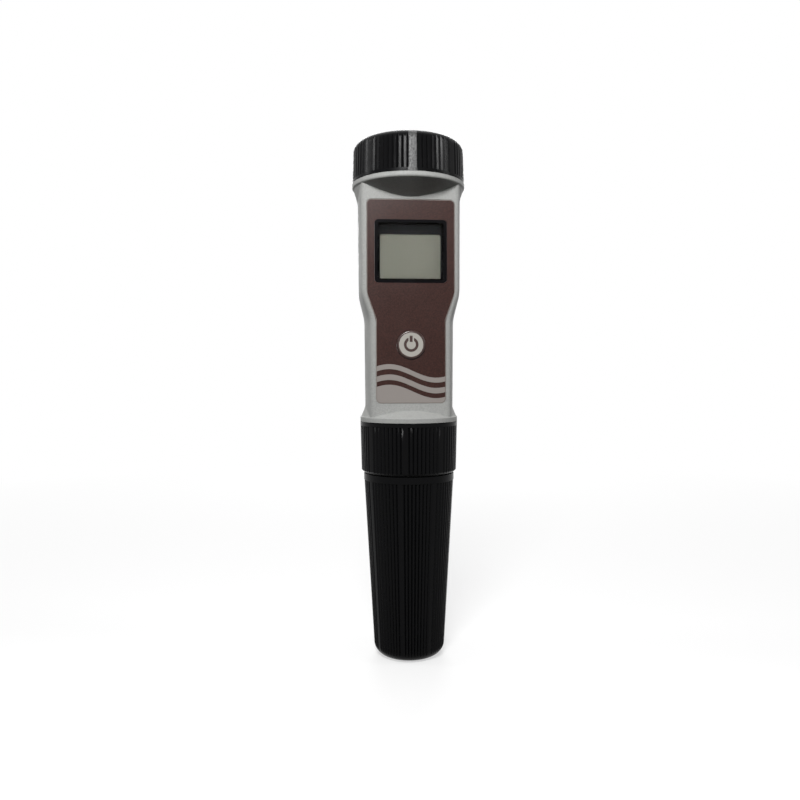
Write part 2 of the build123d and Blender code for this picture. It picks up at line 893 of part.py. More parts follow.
def make_electrode_body():
    barrel_end = seat_bottom - electrode_barrel_length
    plug_radius = lower_neck_bore - running_clearance
    body = disc(plug_radius, flange_top, plug_top())
    body += disc(electrode_flange_radius, flange_bottom, flange_top)
    body += disc(electrode_seat_radius, seat_bottom, flange_bottom)
    body += disc(electrode_barrel_radius, barrel_end, seat_bottom)
    guard_end = barrel_end - guard_length
    guard = disc(electrode_barrel_radius, guard_end, barrel_end)
    guard -= disc(electrode_barrel_radius - guard_wall, guard_end, barrel_end)
    slot_top = barrel_end - guard_bridge - guard_slot / 2
    slot_reach = electrode_barrel_radius + overcut
    for i in range(guard_slots):
        turn = Rot(0, 0, i * 360 / guard_slots)
        guard -= turn * block(guard_slot / 2, 0, slot_reach, guard_end, slot_top)
        guard -= turn * peg(guard_slot / 2, 0, slot_reach, 0, slot_top)
    body += guard
    body -= ring_groove(plug_radius, electrode_seal_section, plug_seal_level())
    body -= ring_groove(electrode_seat_radius, cap_seal_section, cap_seal_level())
    body -= disc(stem_radius, barrel_end, barrel_end + stem_seat)
    body -= disc(junction_radius, barrel_end, barrel_end + junction_length - junction_out, x=junction_place)
    for x in pin_places():
        body -= disc(pin_radius, plug_top() - pin_seat, plug_top(), x=x)
    return body


def make_electrode_pins():
    pins = []
    for x in pin_places():
        pin = disc(pin_radius, plug_top() - pin_seat, plug_top() + pin_length, x=x)
        pins.append(chamfer(pin.edges().sort_by(Axis.Z)[-1], pin_radius / 3))
    return Compound(pins)


def make_electrode_o_ring():
    centre = lower_neck_bore - seal_clearance - electrode_seal_section / 2
    return seal(centre, electrode_seal_section, plug_seal_level())


def make_cap_seal_ring():
    centre = electrode_seat_radius + running_clearance - seal_clearance - cap_seal_section / 2
    return seal(centre, cap_seal_section, cap_seal_level())


def stem_tip():
    return seat_bottom - electrode_barrel_length - stem_length


def make_glass_stem():
    barrel_end = seat_bottom - electrode_barrel_length
    stem = disc(stem_radius, stem_tip(), barrel_end + stem_seat)
    stem = fillet(stem.edges().sort_by(Axis.Z)[0], stem_rounding)
    return stem - disc(platinum_radius, stem_tip(), stem_tip() + platinum_length - platinum_out)


def make_platinum_pin():
    low = stem_tip() - platinum_out
    return disc(platinum_radius, low, low + platinum_length)


def make_reference_junction():
    low = seat_bottom - electrode_barrel_length - junction_out
    return disc(junction_radius, low, low + junction_length, x=junction_place)


def make_electrode_ring_nut():
    rib_high = ring_top - ring_rim_height
    outside = turned(
        [
            (0, ring_bottom),
            (ring_rib_bottom_radius - ring_chamfer, ring_bottom),
            (ring_rib_bottom_radius, ring_bottom + ring_chamfer),
            (ring_rib_top_radius, rib_high),
            (ring_top_radius, rib_high),
            (ring_top_radius, ring_top),
            (0, ring_top),
        ]
    )
    radii = (ring_rib_bottom_radius, ring_rib_top_radius)
    outside -= rib_grooves(*radii, ring_bottom - overcut, rib_high, ring_strip_turn)
    nut = outside - disc(lower_neck_radius + ring_thread_gap, ledge_top, ring_top)
    nut -= disc(electrode_seat_radius + running_clearance, ring_bottom, ledge_top)
    nut -= disc(ring_skirt_bore, ring_bottom, ledge_top - ring_ledge_thickness)
    return nut


def cap_outer_radius(level):
    rim_low = protective_cap_length - protective_cap_rim_height
    share = level / rim_low
    return protective_cap_end_radius + share * (protective_cap_top_radius - protective_cap_end_radius)


def make_protective_cap():
    rim_low = protective_cap_length - protective_cap_rim_height
    outside = turned(
        [
            (0, 0),
            (protective_cap_end_radius, 0),
            (protective_cap_top_radius, rim_low),
            (protective_cap_rim_radius, rim_low),
            (protective_cap_rim_radius, protective_cap_length),
            (0, protective_cap_length),
        ],
        [((protective_cap_end_radius, 0), protective_cap_end_rounding)],
    )
    rib_low = protective_cap_rib_start
    radii = (cap_outer_radius(rib_low), protective_cap_top_radius)
    outside -= rib_grooves(*radii, rib_low, rim_low, protective_cap_strip_turn)
    stop = seat_bottom - seat_clearance
    inside = turned(
        [
            (0, protective_cap_floor),
            (cap_outer_radius(protective_cap_floor) - protective_cap_wall, protective_cap_floor),
            (cap_outer_radius(stop) - protective_cap_wall, stop),
            (0, stop),
        ]
    )
    inside += disc(electrode_seat_radius + running_clearance, stop, protective_cap_length)
    return outside - inside


def make_storage_sponge():
    radius = cap_outer_radius(protective_cap_floor) - protective_cap_wall - sponge_gap
    return disc(radius, protective_cap_floor, protective_cap_floor + sponge_thickness)


pieces = {
    "protective_cap": make_protective_cap,
    "storage_sponge": make_storage_sponge,
    "electrode_ring_nut": make_electrode_ring_nut,
    "electrode_body": make_electrode_body,
    "electrode_pins": make_electrode_pins,
    "electrode_o_ring": make_electrode_o_ring,
    "cap_seal_ring": make_cap_seal_ring,
    "glass_stem": make_glass_stem,
    "platinum_pin": make_platinum_pin,
    "reference_junction": make_reference_junction,
    "housing": make_housing,
    "front_label": make_front_label,
    "display_bezel": make_display_bezel,
    "display_window": make_display_window,
    "lcd_panel": make_lcd_panel,
    "lcd_frame": make_lcd_frame,
    "zebra_strip": make_zebra_strip,
    "power_button": make_power_button,
    "switch_plunger": make_switch_plunger,
    "tact_switch": make_tact_switch,
    "circuit_board": make_circuit_board,
    "board_screws": make_board_screws,
    "board_chips": make_board_chips,
    "board_capacitors": make_board_capacitors,
    "board_contacts": make_board_contacts,
    "sensor_socket": make_sensor_socket,
    "socket_leads": make_socket_leads,
    "chassis": make_chassis,
    "neck_o_ring": make_neck_o_ring,
    "battery_tray": make_battery_tray,
    "button_cells": make_button_cells,
    "tray_top_contact": make_tray_top_contact,
    "tray_bottom_contact": make_tray_bottom_contact,
    "swivel_screw": make_swivel_screw,
    "battery_cap": make_battery_cap,
}

os.makedirs("parts", exist_ok=True)
for name, make in pieces.items():
    export_step(make(), f"parts/{name}.step")
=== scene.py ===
import math
import bpy
from mathutils import Matrix, Vector


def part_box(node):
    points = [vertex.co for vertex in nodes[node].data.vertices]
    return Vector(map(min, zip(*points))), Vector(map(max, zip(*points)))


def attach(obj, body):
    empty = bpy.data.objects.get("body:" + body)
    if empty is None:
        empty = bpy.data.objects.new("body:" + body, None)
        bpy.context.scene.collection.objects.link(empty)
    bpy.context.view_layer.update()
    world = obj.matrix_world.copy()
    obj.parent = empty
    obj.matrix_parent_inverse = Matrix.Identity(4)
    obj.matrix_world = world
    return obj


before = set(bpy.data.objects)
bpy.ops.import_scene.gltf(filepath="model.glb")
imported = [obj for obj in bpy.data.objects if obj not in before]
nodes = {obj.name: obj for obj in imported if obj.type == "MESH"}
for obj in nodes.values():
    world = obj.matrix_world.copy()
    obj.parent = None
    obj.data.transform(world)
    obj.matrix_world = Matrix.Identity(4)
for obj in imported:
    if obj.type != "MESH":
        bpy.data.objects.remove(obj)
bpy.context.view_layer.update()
bpy.ops.object.select_all(action="DESELECT")
bpy.context.scene.view_settings.view_transform = "Standard"
mm = 0.001

# Camera as the picture was taken: near, at the height of the waist, a little to the tester's left
cameraSetup = {
    "distance": 270 * mm,
    "height": 102.8 * mm,
    "turn": 4.5,  # degrees round the tester, towards -X
    "roll": -0.13,  # degrees
    "lens": 32.3,  # millimetres, as the sensor's width
    "sensor": 36,
    "shiftRight": -0.0108,  # shares of the picture's width
    "shiftUp": -0.0284,
    "nearest": 10 * mm,
}


def addCamera(setup):
    turn = math.radians(setup["turn"])
    data = bpy.data.cameras.new("tableCamera")
    data.lens = setup["lens"]
    data.sensor_width = setup["sensor"]
    data.shift_x = setup["shiftRight"]
    data.shift_y = setup["shiftUp"]
    data.clip_start = setup["nearest"]
    camera = bpy.data.objects.new("tableCamera", data)
    camera.location = (
        -setup["distance"] * math.sin(turn),
        -setup["distance"] * math.cos(turn),
        setup["height"],
    )
    level = Matrix.Rotation(-turn, 4, "Z") @ Matrix.Rotation(math.pi / 2, 4, "X")
    camera.rotation_euler = (level @ Matrix.Rotation(math.radians(setup["roll"]), 4, "Z")).to_euler()
    bpy.context.scene.collection.objects.link(camera)
    bpy.context.scene.camera = camera


addCamera(cameraSetup)
print("camera placed")


# Node helpers: each adds its nodes, sets or links what it is given, and returns the output
def feed(tree, value, socket):
    if isinstance(value, tuple):
        socket.default_value = (*value, 1) if socket.type == "RGBA" else value
    elif isinstance(value, (int, float)):
        socket.default_value = value
    else:
        tree.links.new(value, socket)


def mathNode(tree, operation, *values):
    node = tree.nodes.new("ShaderNodeMath")
    node.operation = operation
    for value, socket in zip(values, node.inputs):
        feed(tree, value, socket)
    return node.outputs[0]


def noiseNode(tree, vector, scale, detail, roughness=0.5):
    node = tree.nodes.new("ShaderNodeTexNoise")
    given = {"Vector": vector, "Scale": scale, "Detail": detail, "Roughness": roughness}
    for label, value in given.items():
        feed(tree, value, node.inputs[label])
    return node.outputs["Fac"]


def rangeNode(tree, value, fromLow, fromHigh, toLow=0.0, toHigh=1.0):
    node = tree.nodes.new("ShaderNodeMapRange")
    ends = {"From Min": fromLow, "From Max": fromHigh, "To Min": toLow, "To Max": toHigh}
    feed(tree, value, node.inputs["Value"])
    for label, end in ends.items():
        feed(tree, end, node.inputs[label])
    return node.outputs["Result"]


def mixColour(tree, share, first, second):
    node = tree.nodes.new("ShaderNodeMix")
    node.data_type = "RGBA"
    feed(tree, share, node.inputs["Factor"])
    sockets = [socket for socket in node.inputs if socket.type == "RGBA"]
    for colour, socket in zip((first, second), sockets):
        feed(tree, colour, socket)
    return [socket for socket in node.outputs if socket.type == "RGBA"][0]


def mixShader(tree, share, first, second):
    node = tree.nodes.new("ShaderNodeMixShader")
    for value, socket in zip((share, first, second), node.inputs):
        tree.links.new(value, socket)
    return node.outputs[0]


def scaleColour(tree, colour, gain):
    node = tree.nodes.new("ShaderNodeVectorMath")
    node.operation = "SCALE"
    feed(tree, colour, node.inputs[0])
    feed(tree, gain, node.inputs["Scale"])
    return node.outputs[0]


def splitAxes(tree, vector):
    node = tree.nodes.new("ShaderNodeSeparateXYZ")
    tree.links.new(vector, node.inputs[0])
    return node.outputs["X"], node.outputs["Y"], node.outputs["Z"]


def between(tree, value, low, high):
    # One where the value lies between the two, zero elsewhere
    above = mathNode(tree, "GREATER_THAN", value, low)
    return mathNode(tree, "MULTIPLY", above, mathNode(tree, "LESS_THAN", value, high))


def diagonal(tree, first, second):
    squares = [mathNode(tree, "MULTIPLY", side, side) for side in (first, second)]
    return mathNode(tree, "SQRT", mathNode(tree, "ADD", *squares))


def seenShare(tree):
    # One for rays that show the background: straight from the camera, mirrored or through glass
    path = tree.nodes.new("ShaderNodeLightPath")
    share = path.outputs["Is Camera Ray"]
    for label in ("Is Glossy Ray", "Is Transmission Ray"):
        share = mathNode(tree, "MAXIMUM", share, path.outputs[label])
    return share


# Lights: a small soft box over the lens, one at each side, a weak one above the cap, one behind
lightSetup = {
    "boxes": [
        # name, place, width and height, power
        ("frontBox", (-0.055, -0.26, 0.30), (0.10, 0.08), 1.24),
        ("leftBox", (-0.70, 0.06, 0.50), (0.14, 0.34), 0.95),
        ("rightBox", (0.68, -0.16, 0.46), (0.14, 0.34), 1.10),
        ("topBox", (0.0, 0.20, 0.80), (0.50, 0.50), 0.9),
        ("backBox", (0.06, 0.80, 0.42), (0.40, 0.40), 4.2),
    ],
    "aim": (0.0, 0.0, 0.12),
}


def addLights(setup):
    for name, place, size, power in setup["boxes"]:
        data = bpy.data.lights.new(name, "AREA")
        data.shape = "RECTANGLE"
        data.size, data.size_y = size
        data.energy = power
        light = bpy.data.objects.new(name, data)
        light.location = place
        toward = Vector(setup["aim"]) - Vector(place)
        light.rotation_euler = toward.to_track_quat("-Z", "Y").to_euler()
        bpy.context.scene.collection.objects.link(light)


# Room: white where it is seen or mirrored, and as a light pale above and dark below
roomSetup = {
    "low": 0.02,  # strengths of the light from below and from above
    "high": 0.34,
    "lowEnd": -0.1,  # rise of the direction between which it goes from one to the other
    "highEnd": 0.9,
}


def addRoom(setup):
    world = bpy.data.worlds.new("whiteRoom")
    bpy.context.scene.world = world
    world.use_nodes = True
    tree = world.node_tree
    tree.nodes.clear()
    output = tree.nodes.new("ShaderNodeOutputWorld")
    seen = tree.nodes.new("ShaderNodeBackground")
    lit = tree.nodes.new("ShaderNodeBackground")
    for background in (seen, lit):
        background.inputs["Color"].default_value = (1, 1, 1, 1)
    upward = splitAxes(tree, tree.nodes.new("ShaderNodeTexCoord").outputs["Generated"])[2]
    rise = rangeNode(tree, upward, setup["lowEnd"], setup["highEnd"], setup["low"], setup["high"])
    tree.links.new(rise, lit.inputs["Strength"])
    mixed = mixShader(tree, seenShare(tree), lit.outputs[0], seen.outputs[0])
    tree.links.new(mixed, output.inputs["Surface"])


# Floor: pale and plain, it keeps the shadow near the tester and fades to the white room.
# Light that it throws back at the tester is held low, like a floor far below a held object.
floorSetup = {
    "reach": 3.0,
    "drop": 0.2 * mm,  # clear of the tester's flat end
    "fadeFrom": 0.10,  # distances from the tester between which the floor turns white
    "fadeTo": 0.60,
    "glow": 0.55,  # share of plain white beside the tester
    "pale": (0.86, 0.86, 0.86),
    "thrown": (0.02, 0.02, 0.02),
}


def addFloor(setup):
    bpy.ops.object.select_all(action="DESELECT")
    bpy.ops.mesh.primitive_plane_add(size=2 * setup["reach"], location=(0, 0, -setup["drop"]))
    floor = bpy.context.active_object
    floor.name = "paleFloor"
    material = bpy.data.materials.new("paleFloorPaint")
    material.use_nodes = True
    tree = material.node_tree
    tree.nodes.clear()
    output = tree.nodes.new("ShaderNodeOutputMaterial")
    matt = tree.nodes.new("ShaderNodeBsdfDiffuse")
    white = tree.nodes.new("ShaderNodeEmission")
    away = tree.nodes.new("ShaderNodeVectorMath")
    away.operation = "LENGTH"
    tree.links.new(tree.nodes.new("ShaderNodeTexCoord").outputs["Object"], away.inputs[0])
    seen = seenShare(tree)
    tree.links.new(mixColour(tree, seen, setup["thrown"], setup["pale"]), matt.inputs["Color"])
    fade = rangeNode(tree, away.outputs["Value"], setup["fadeFrom"], setup["fadeTo"], setup["glow"])
    share = mathNode(tree, "MULTIPLY", fade, seen)
    tree.links.new(mixShader(tree, share, matt.outputs[0], white.outputs[0]), output.inputs["Surface"])
    floor.data.materials.append(material)


addLights(lightSetup)
addRoom(roomSetup)
addFloor(floorSetup)
print("lights, room and floor ready")


# Shader groups shared by the finishes: each takes coordinates and numbers and gives out numbers
def newGroup(name, numbers, results):
    tree = bpy.data.node_groups.new(name, "ShaderNodeTree")
    tree.interface.new_socket(name="Coords", in_out="INPUT", socket_type="NodeSocketVector")
    for label, value in numbers.items():
        socket = tree.interface.new_socket(name=label, in_out="INPUT", socket_type="NodeSocketFloat")
        socket.default_value = value
    for label in results:
        tree.interface.new_socket(name=label, in_out="OUTPUT", socket_type="NodeSocketFloat")
    return tree, tree.nodes.new("NodeGroupInput").outputs, tree.nodes.new("NodeGroupOutput").inputs


# Spark-eroded texture of the mould, with a slow drift of shade
grainSetup = {"grainScale": 2600.0, "grainDetail": 2.0, "driftScale": 60.0, "driftDetail": 3.0}


def makeMouldGrain(setup):
    numbers = {"Grain Scale": setup["grainScale"], "Drift Scale": setup["driftScale"]}
    tree, given, result = newGroup("mouldGrain", numbers, ("Height", "Drift"))
    fine = noiseNode(tree, given["Coords"], given["Grain Scale"], setup["grainDetail"])
    slow = noiseNode(tree, given["Coords"], given["Drift Scale"], setup["driftDetail"])
    tree.links.new(fine, result["Height"])
    tree.links.new(slow, result["Drift"])
    return tree


# Faint rub marks and fingerprints that break up the gloss
marksSetup = {"scale": 130.0, "detail": 4.0, "roughness": 0.6, "clean": 0.35, "rubbed": 0.65}


def makeHandlingMarks(setup):
    tree, given, result = newGroup("handlingMarks", {"Low": 0.35, "High": 0.5}, ("Roughness",))
    patches = noiseNode(tree, given["Coords"], setup["scale"], setup["detail"], setup["roughness"])
    gloss = rangeNode(tree, patches, setup["clean"], setup["rubbed"], given["Low"], given["High"])
    tree.links.new(gloss, result["Roughness"])
    return tree


def makeMetalFlake():
    # Fine metal flake in a print or paint: specks a little brighter or darker than a field of one
    tree, given, result = newGroup("metalFlake", {"Flake Scale": 3000.0, "Strength": 0.4}, ("Gain",))
    cells = tree.nodes.new("ShaderNodeTexVoronoi")
    tree.links.new(given["Coords"], cells.inputs["Vector"])
    tree.links.new(given["Flake Scale"], cells.inputs["Scale"])
    split = tree.nodes.new("ShaderNodeSeparateColor")
    tree.links.new(cells.outputs["Color"], split.inputs[0])
    around = mathNode(tree, "SUBTRACT", split.outputs[0], 0.5)
    tree.links.new(mathNode(tree, "MULTIPLY_ADD", around, given["Strength"], 1.0), result["Gain"])
    return tree


mouldGrain = makeMouldGrain(grainSetup)
handlingMarks = makeHandlingMarks(marksSetup)
metalFlake = makeMetalFlake()
print("shader groups built")


# What every finish starts from, and the steps that several of them share
def startFinish(name):
    material = bpy.data.materials.new(name)
    material.use_nodes = True
    tree = material.node_tree
    shader = tree.nodes["Principled BSDF"]
    coords = tree.nodes.new("ShaderNodeTexCoord").outputs["Object"]
    return material, tree, shader, coords


def useGroup(tree, group, coords, **values):
    node = tree.nodes.new("ShaderNodeGroup")
    node.node_tree = group
    tree.links.new(coords, node.inputs["Coords"])
    for label, value in values.items():
        node.inputs[label.replace("_", " ")].default_value = value
    return node.outputs


def setShader(shader, **values):
    for label, value in values.items():
        shader.inputs[label.replace("_", " ")].default_value = value


def handledGloss(tree, coords, gloss):
    # Roughness between the two given, by the rub marks
    return useGroup(tree, handlingMarks, coords, Low=gloss[0], High=gloss[1])["Roughness"]


def driftingTone(tree, drift, colour, dark, bright):
    tones = [tuple(min(1.0, part * gain) for part in colour) for gain in (dark, bright)]
    return mixColour(tree, drift, *tones)


def addBump(tree, shader, height, depth):
    bump = tree.nodes.new("ShaderNodeBump")
    bump.inputs["Distance"].default_value = depth
    tree.links.new(height, bump.inputs["Height"])
    tree.links.new(bump.outputs["Normal"], shader.inputs["Normal"])


def mouldedPlastic(name, colour, gloss, depth=0.01 * mm, drift=0.12, specular=0.5):
    material, tree, shader, coords = startFinish(name)
    texture = useGroup(tree, mouldGrain, coords)
    tone = driftingTone(tree, texture["Drift"], colour, 1 - drift, 1 + drift)
    tree.links.new(tone, shader.inputs["Base Color"])
    tree.links.new(handledGloss(tree, coords, gloss), shader.inputs["Roughness"])
    setShader(shader, Specular_IOR_Level=specular)
    addBump(tree, shader, texture["Height"], depth)
    return material


# Black plastic of the three turned pieces: satin, and frosted on the cap's strip that faces forward, where
# it is also painted lighter as a painted highlight
blackPlastic = {
    "colour": (0.0025, 0.0025, 0.0028),
    "dark": 0.8,
    "bright": 1.3,
    "gloss": (0.20, 0.32),
    "specular": 0.06,
    "grain": 2400.0,
    "depth": 0.012 * mm,
    "stripHalf": 4.3,  # degrees from the middle of the strip to its edge
    "frostGrain": 1500.0,
    # colour of the painted highlight that lightens the forward strip
    "paintedStripHighlight": (0.05, 0.05, 0.05),
    "frostFrom": 0.25,  # heights of the frost between which its sheen comes up
    "frostTo": 0.6,
    "frostRough": 0.12,
    "frostDepth": 3.0,
    "sheenRough": 0.42,
}


def ribbedPlastic(name, setup, frostAndPaintedHighlight=False):
    material, tree, shader, coords = startFinish(name)
    setShader(shader, Specular_IOR_Level=setup["specular"])
    texture = useGroup(tree, mouldGrain, coords, Grain_Scale=setup["grain"])
    tone = driftingTone(tree, texture["Drift"], setup["colour"], setup["dark"], setup["bright"])
    rough = handledGloss(tree, coords, setup["gloss"])
    height = texture["Height"]
    if frostAndPaintedHighlight:
        strip = frontStrip(tree, coords, setup["stripHalf"])
        frost = useGroup(tree, mouldGrain, coords, Grain_Scale=setup["frostGrain"])["Height"]
        share = mathNode(tree, "MULTIPLY", strip, frost)
        # the strip facing the viewer is painted lighter through the frost's grain: painted highlight
        tone = mixColour(tree, share, tone, setup["paintedStripHighlight"])
        sheen = rangeNode(tree, share, setup["frostFrom"], setup["frostTo"])
        tree.links.new(sheen, shader.inputs["Coat Weight"])
        setShader(shader, Coat_Roughness=setup["sheenRough"])
        rough = mathNode(tree, "MULTIPLY_ADD", strip, setup["frostRough"], rough)
        height = mathNode(tree, "MULTIPLY_ADD", share, setup["frostDepth"], height)
    tree.links.new(tone, shader.inputs["Base Color"])
    tree.links.new(rough, shader.inputs["Roughness"])
    addBump(tree, shader, height, setup["depth"])
    return material


def frontStrip(tree, coords, half):
    # One on the smooth strip between the ribs that faces the viewer, zero elsewhere
    across, deep, _ = splitAxes(tree, coords)
    turned = mathNode(tree, "ARCTAN2", across, mathNode(tree, "MULTIPLY", deep, -1.0))
    return mathNode(tree, "LESS_THAN", mathNode(tree, "ABSOLUTE", turned), math.radians(half))


# Silver-grey paint of the housing, with fine flake
shellPaint = {
    "colour": (0.315, 0.318, 0.308),
    "dark": 0.94,
    "bright": 1.06,
    "gloss": (0.34, 0.46),
    "specular": 0.1,
    "grain": 3000.0,
    "depth": 0.006 * mm,
    "flakeScale": 3000.0,
    "flakeStrength": 0.16,
}


def flakeGain(tree, coords, setup):
    group = useGroup(
        tree, metalFlake, coords, Flake_Scale=setup["flakeScale"], Strength=setup["flakeStrength"]
    )
    return group["Gain"]


def silverShell(setup):
    material, tree, shader, coords = startFinish("silverShell")
    texture = useGroup(tree, mouldGrain, coords, Grain_Scale=setup["grain"])
    tone = driftingTone(tree, texture["Drift"], setup["colour"], setup["dark"], setup["bright"])
    flaked = scaleColour(tree, tone, flakeGain(tree, coords, setup))
    tree.links.new(flaked, shader.inputs["Base Color"])
    tree.links.new(handledGloss(tree, coords, setup["gloss"]), shader.inputs["Roughness"])
    setShader(shader, Specular_IOR_Level=setup["specular"])
    addBump(tree, shader, texture["Height"], setup["depth"])
    return material


# Print of the label: flat brown metallic field, pale waves at its foot, and a thin pale line along its edge
# that is a painted highlight, all inside a clear film
labelPrint = {
    "brown": (0.030, 0.0110, 0.0085),
    "pale": (0.25, 0.227, 0.212),
    # pale line inside the outline: painted highlight
    "paintedEdgeHighlight": (0.20, 0.175, 0.16),
    "edgeWidth": 0.22 * mm,
    "edgeInset": 0.04 * mm,
    "cornerRadius": 1.8 * mm,
    # heights between which the label widens, and its half width below them
    "waist": (123.6 * mm, 133.2 * mm),
    "lowerHalf": 12.6 * mm,
    "waveMiddle": 0.6 * mm,
    "waveHalfLength": 8.5 * mm,
    "waveRise": 2.45 * mm,
    # lower and upper edge of each pale band, as heights at the wave's middle crossing
    "bands": [(103.3 * mm, 105.1 * mm), (99.4 * mm, 101.4 * mm), (80.0 * mm, 97.7 * mm)],
    "flakeScale": 3000.0,
    "flakeStrength": 0.6,
    "gloss": (0.30, 0.42),
    "specular": 0.1,
    "film": 0.14,
    "filmRough": 0.38,
}


def edgeHighlightMask(tree, across, up, setup):
    # Painted highlight: a thin pale line just inside the label's outline, where the edge of its recess
    # catches light: upper part, slope of the waist, lower part
    low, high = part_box("front_label")
    radius = setup["cornerRadius"]
    half = rangeNode(tree, up, *setup["waist"], setup["lowerHalf"], high[0])
    side = mathNode(tree, "ABSOLUTE", across)
    fromSide = mathNode(tree, "SUBTRACT", side, mathNode(tree, "SUBTRACT", half, radius))
    above = mathNode(tree, "SUBTRACT", up, high[2] - radius)
    below = mathNode(tree, "SUBTRACT", low[2] + radius, up)
    fromEnd = mathNode(tree, "MAXIMUM", above, below)
    corner = [mathNode(tree, "MAXIMUM", distance, 0.0) for distance in (fromSide, fromEnd)]
    outer = radius - setup["edgeInset"]
    return between(tree, diagonal(tree, *corner), outer - setup["edgeWidth"], outer)


def labelWaves(tree, across, up, setup):
    # One on the pale bands, whose edges rise and fall together along half a wave each way
    aside = mathNode(tree, "SUBTRACT", across, setup["waveMiddle"])
    along = mathNode(tree, "DIVIDE", aside, setup["waveHalfLength"])
    swing = mathNode(tree, "SINE", mathNode(tree, "MULTIPLY", along, -math.pi / 2))
    level = mathNode(tree, "SUBTRACT", up, mathNode(tree, "MULTIPLY", swing, setup["waveRise"]))
    waves, *others = [between(tree, level, low, high) for low, high in setup["bands"]]
    for band in others:
        waves = mathNode(tree, "MAXIMUM", waves, band)
    return waves


def labelFilm(setup):
    material, tree, shader, coords = startFinish("labelFilm")
    across, _, up = splitAxes(tree, coords)
    brown = scaleColour(tree, setup["brown"], flakeGain(tree, coords, setup))
    printed = mixColour(tree, labelWaves(tree, across, up, setup), brown, setup["pale"])
    # the pale edge line laid over the print is a painted highlight
    edged = mixColour(tree, edgeHighlightMask(tree, across, up, setup), printed, setup["paintedEdgeHighlight"])
    tree.links.new(edged, shader.inputs["Base Color"])
    tree.links.new(handledGloss(tree, coords, setup["gloss"]), shader.inputs["Roughness"])
    setShader(shader, Specular_IOR_Level=setup["specular"])
    setShader(shader, Coat_Weight=setup["film"], Coat_Roughness=setup["filmRough"])
    return material


# Button: brown dome with a pale disc that carries the power sign
buttonPrint = {
    "brown": labelPrint["brown"],
    "pale": (0.34, 0.325, 0.295),
    "discRadius": 4.35 * mm,
    "ring": (1.66 * mm, 2.63 * mm),  # inner and outer radius
    "gapHalf": 1.0 * mm,
    "barHalf": 0.52 * mm,
    "bar": (0.94 * mm, 3.2 * mm),  # its ends above the middle
    "flakeScale": 3600.0,
    "flakeStrength": 0.5,
    "gloss": (0.28, 0.40),
    "specular": 0.3,
    "film": 0.3,
    "filmRough": 0.15,
}


def powerSign(tree, across, up, radius, setup):
    # Open ring with a bar in its gap
    side = mathNode(tree, "ABSOLUTE", across)
    inGap = mathNode(tree, "LESS_THAN", side, setup["gapHalf"])
    gap = mathNode(tree, "MULTIPLY", inGap, mathNode(tree, "GREATER_THAN", up, 0.0))
    closed = mathNode(tree, "SUBTRACT", 1.0, gap)
    ring = mathNode(tree, "MULTIPLY", between(tree, radius, *setup["ring"]), closed)
    inBar = mathNode(tree, "LESS_THAN", side, setup["barHalf"])
    bar = mathNode(tree, "MULTIPLY", inBar, between(tree, up, *setup["bar"]))
    return mathNode(tree, "MAXIMUM", ring, bar)


def buttonFinish(setup):
    low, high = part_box("power_button")
    material, tree, shader, coords = startFinish("buttonPrint")
    across, _, level = splitAxes(tree, coords)
    up = mathNode(tree, "SUBTRACT", level, (low[2] + high[2]) / 2)
    radius = diagonal(tree, across, up)
    disc = mathNode(tree, "LESS_THAN", radius, setup["discRadius"])
    bare = mathNode(tree, "SUBTRACT", 1.0, powerSign(tree, across, up, radius, setup))
    pale = mathNode(tree, "MULTIPLY", disc, bare)
    brown = scaleColour(tree, setup["brown"], flakeGain(tree, coords, setup))
    tree.links.new(mixColour(tree, pale, brown, setup["pale"]), shader.inputs["Base Color"])
    tree.links.new(handledGloss(tree, coords, setup["gloss"]), shader.inputs["Roughness"])
    setShader(shader, Specular_IOR_Level=setup["specular"])
    setShader(shader, Coat_Weight=setup["film"], Coat_Roughness=setup["filmRough"])
    return material


# Bare metal of cells, switch, contacts, screws and sensing pin
metalLook = {"grain": 1800.0, "dark": 0.88, "bright": 1.08, "depth": 0.004 * mm}


def metalFinish(name, colour, gloss, setup=metalLook):
    material, tree, shader, coords = startFinish(name)
    texture = useGroup(tree, mouldGrain, coords, Grain_Scale=setup["grain"])
    tone = driftingTone(tree, texture["Drift"], colour, setup["dark"], setup["bright"])
    tree.links.new(tone, shader.inputs["Base Color"])
    tree.links.new(handledGloss(tree, coords, gloss), shader.inputs["Roughness"])
    setShader(shader, Metallic=1.0)
    addBump(tree, shader, texture["Height"], setup["depth"])
    return material


# Clear plastic and glass: the tint drifts a little, and handling dulls the surface
clearLook = {"dark": 0.98, "bright": 1.0, "rubbed": 0.03}


def clearFinish(name, tint, rough, index, setup=clearLook):
    material, tree, shader, coords = startFinish(name)
    texture = useGroup(tree, mouldGrain, coords)
    tone = driftingTone(tree, texture["Drift"], tint, setup["dark"], setup["bright"])
    tree.links.new(tone, shader.inputs["Base Color"])
    gloss = handledGloss(tree, coords, (rough, rough + setup["rubbed"]))
    tree.links.new(gloss, shader.inputs["Roughness"])
    setShader(shader, Transmission_Weight=1.0, IOR=index)
    return material


# Wet sponge in the protective cap, painted darker towards the hollow of each pore: painted shade
spongeLook = {
    "cellScale": 1400.0,
    "deep": (0.62, 0.48, 0.2),
    "outer": (0.75, 0.64, 0.34),
    "rough": 0.9,
    "depth": 0.4 * mm,
}


def spongeFinish(setup):
    material, tree, shader, coords = startFinish("spongeFoam")
    cells = tree.nodes.new("ShaderNodeTexVoronoi")
    cells.inputs["Scale"].default_value = setup["cellScale"]
    tree.links.new(coords, cells.inputs["Vector"])
    distance = cells.outputs["Distance"]
    # darker in each pore's hollow, lighter on the walls between: painted shade
    tone = mixColour(tree, distance, setup["deep"], setup["outer"])
    tree.links.new(tone, shader.inputs["Base Color"])
    setShader(shader, Roughness=setup["rough"])
    addBump(tree, shader, distance, setup["depth"])
    return material


